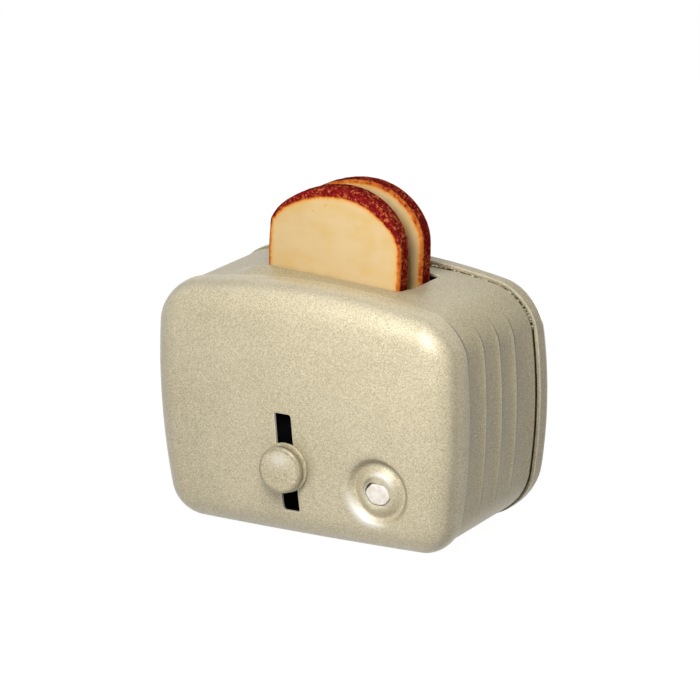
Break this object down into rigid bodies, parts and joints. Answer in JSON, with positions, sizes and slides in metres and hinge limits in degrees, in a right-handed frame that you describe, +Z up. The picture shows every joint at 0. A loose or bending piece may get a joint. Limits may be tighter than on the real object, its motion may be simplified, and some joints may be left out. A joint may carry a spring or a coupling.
{
  "type": "toy toaster",
  "caption": "Miniature toy toaster in champagne painted tinplate; a side lever raises a tray with wooden bread slices and a sprung push button sits in a pressed dish.",
  "frame": {"origin": "middle of the toaster's footprint, knob included, on the surface it stands on", "axes": "+X to the toaster's right as seen from the front, +Y to its back, +Z up"},
  "size_m": [0.0654, 0.0377, 0.0628],
  "materials": {
    "champagne_paint": "satin champagne metallic spray paint with a fine grain",
    "champagne_knob": "satin champagne metallic paint, worn at the edge",
    "bare_tinplate": "dull tinplate",
    "black_tinplate": "matt black",
    "bright_steel": "bright",
    "cream_button": "soft gloss cream white",
    "painted_wood": "clear coated wood with a stained red brown crust"
  },
  "bodies": {
    "root": {"front_cover": "champagne_paint", "body_wrap": "champagne_paint", "back_cover": "champagne_paint", "guide_rail_left": "bare_tinplate", "guide_rail_right": "bare_tinplate", "button_strap": "bare_tinplate"},
    "lever": {"slide_plate": "black_tinplate", "bread_tray": "bare_tinplate", "tray_divider": "bare_tinplate", "tray_rivet_left": "bright_steel", "tray_rivet_right": "bright_steel", "lever_stem": "bright_steel", "lever_knob": "champagne_knob", "lever_washer": "champagne_knob", "stem_washer": "bright_steel", "stem_clip": "bright_steel"},
    "button": {"push_button": "cream_button", "button_spring": "bright_steel"},
    "bread_front": {"bread_slice_front": "painted_wood"},
    "bread_rear": {"bread_slice_rear": "painted_wood"}
  },
  "joints": [
    {"name": "lever_slide", "type": "slide", "parent": "root", "child": "lever", "axis": [0, 0, 1], "range_m": [-0.007, 0.0085]},
    {"name": "button_press", "type": "slide", "parent": "root", "child": "button", "axis": [0, 1, 0], "range_m": [0, 0.0012], "stiffness_N_per_m": 150, "springref_m": -0.002, "deforming": ["button_spring"]},
    {"name": "bread_front_lift", "type": "slide", "parent": "lever", "child": "bread_front", "axis": [0, 0, 1], "range_m": [0, 0.022]},
    {"name": "bread_rear_lift", "type": "slide", "parent": "lever", "child": "bread_rear", "axis": [0, 0, 1], "range_m": [0, 0.022]}
  ]
}
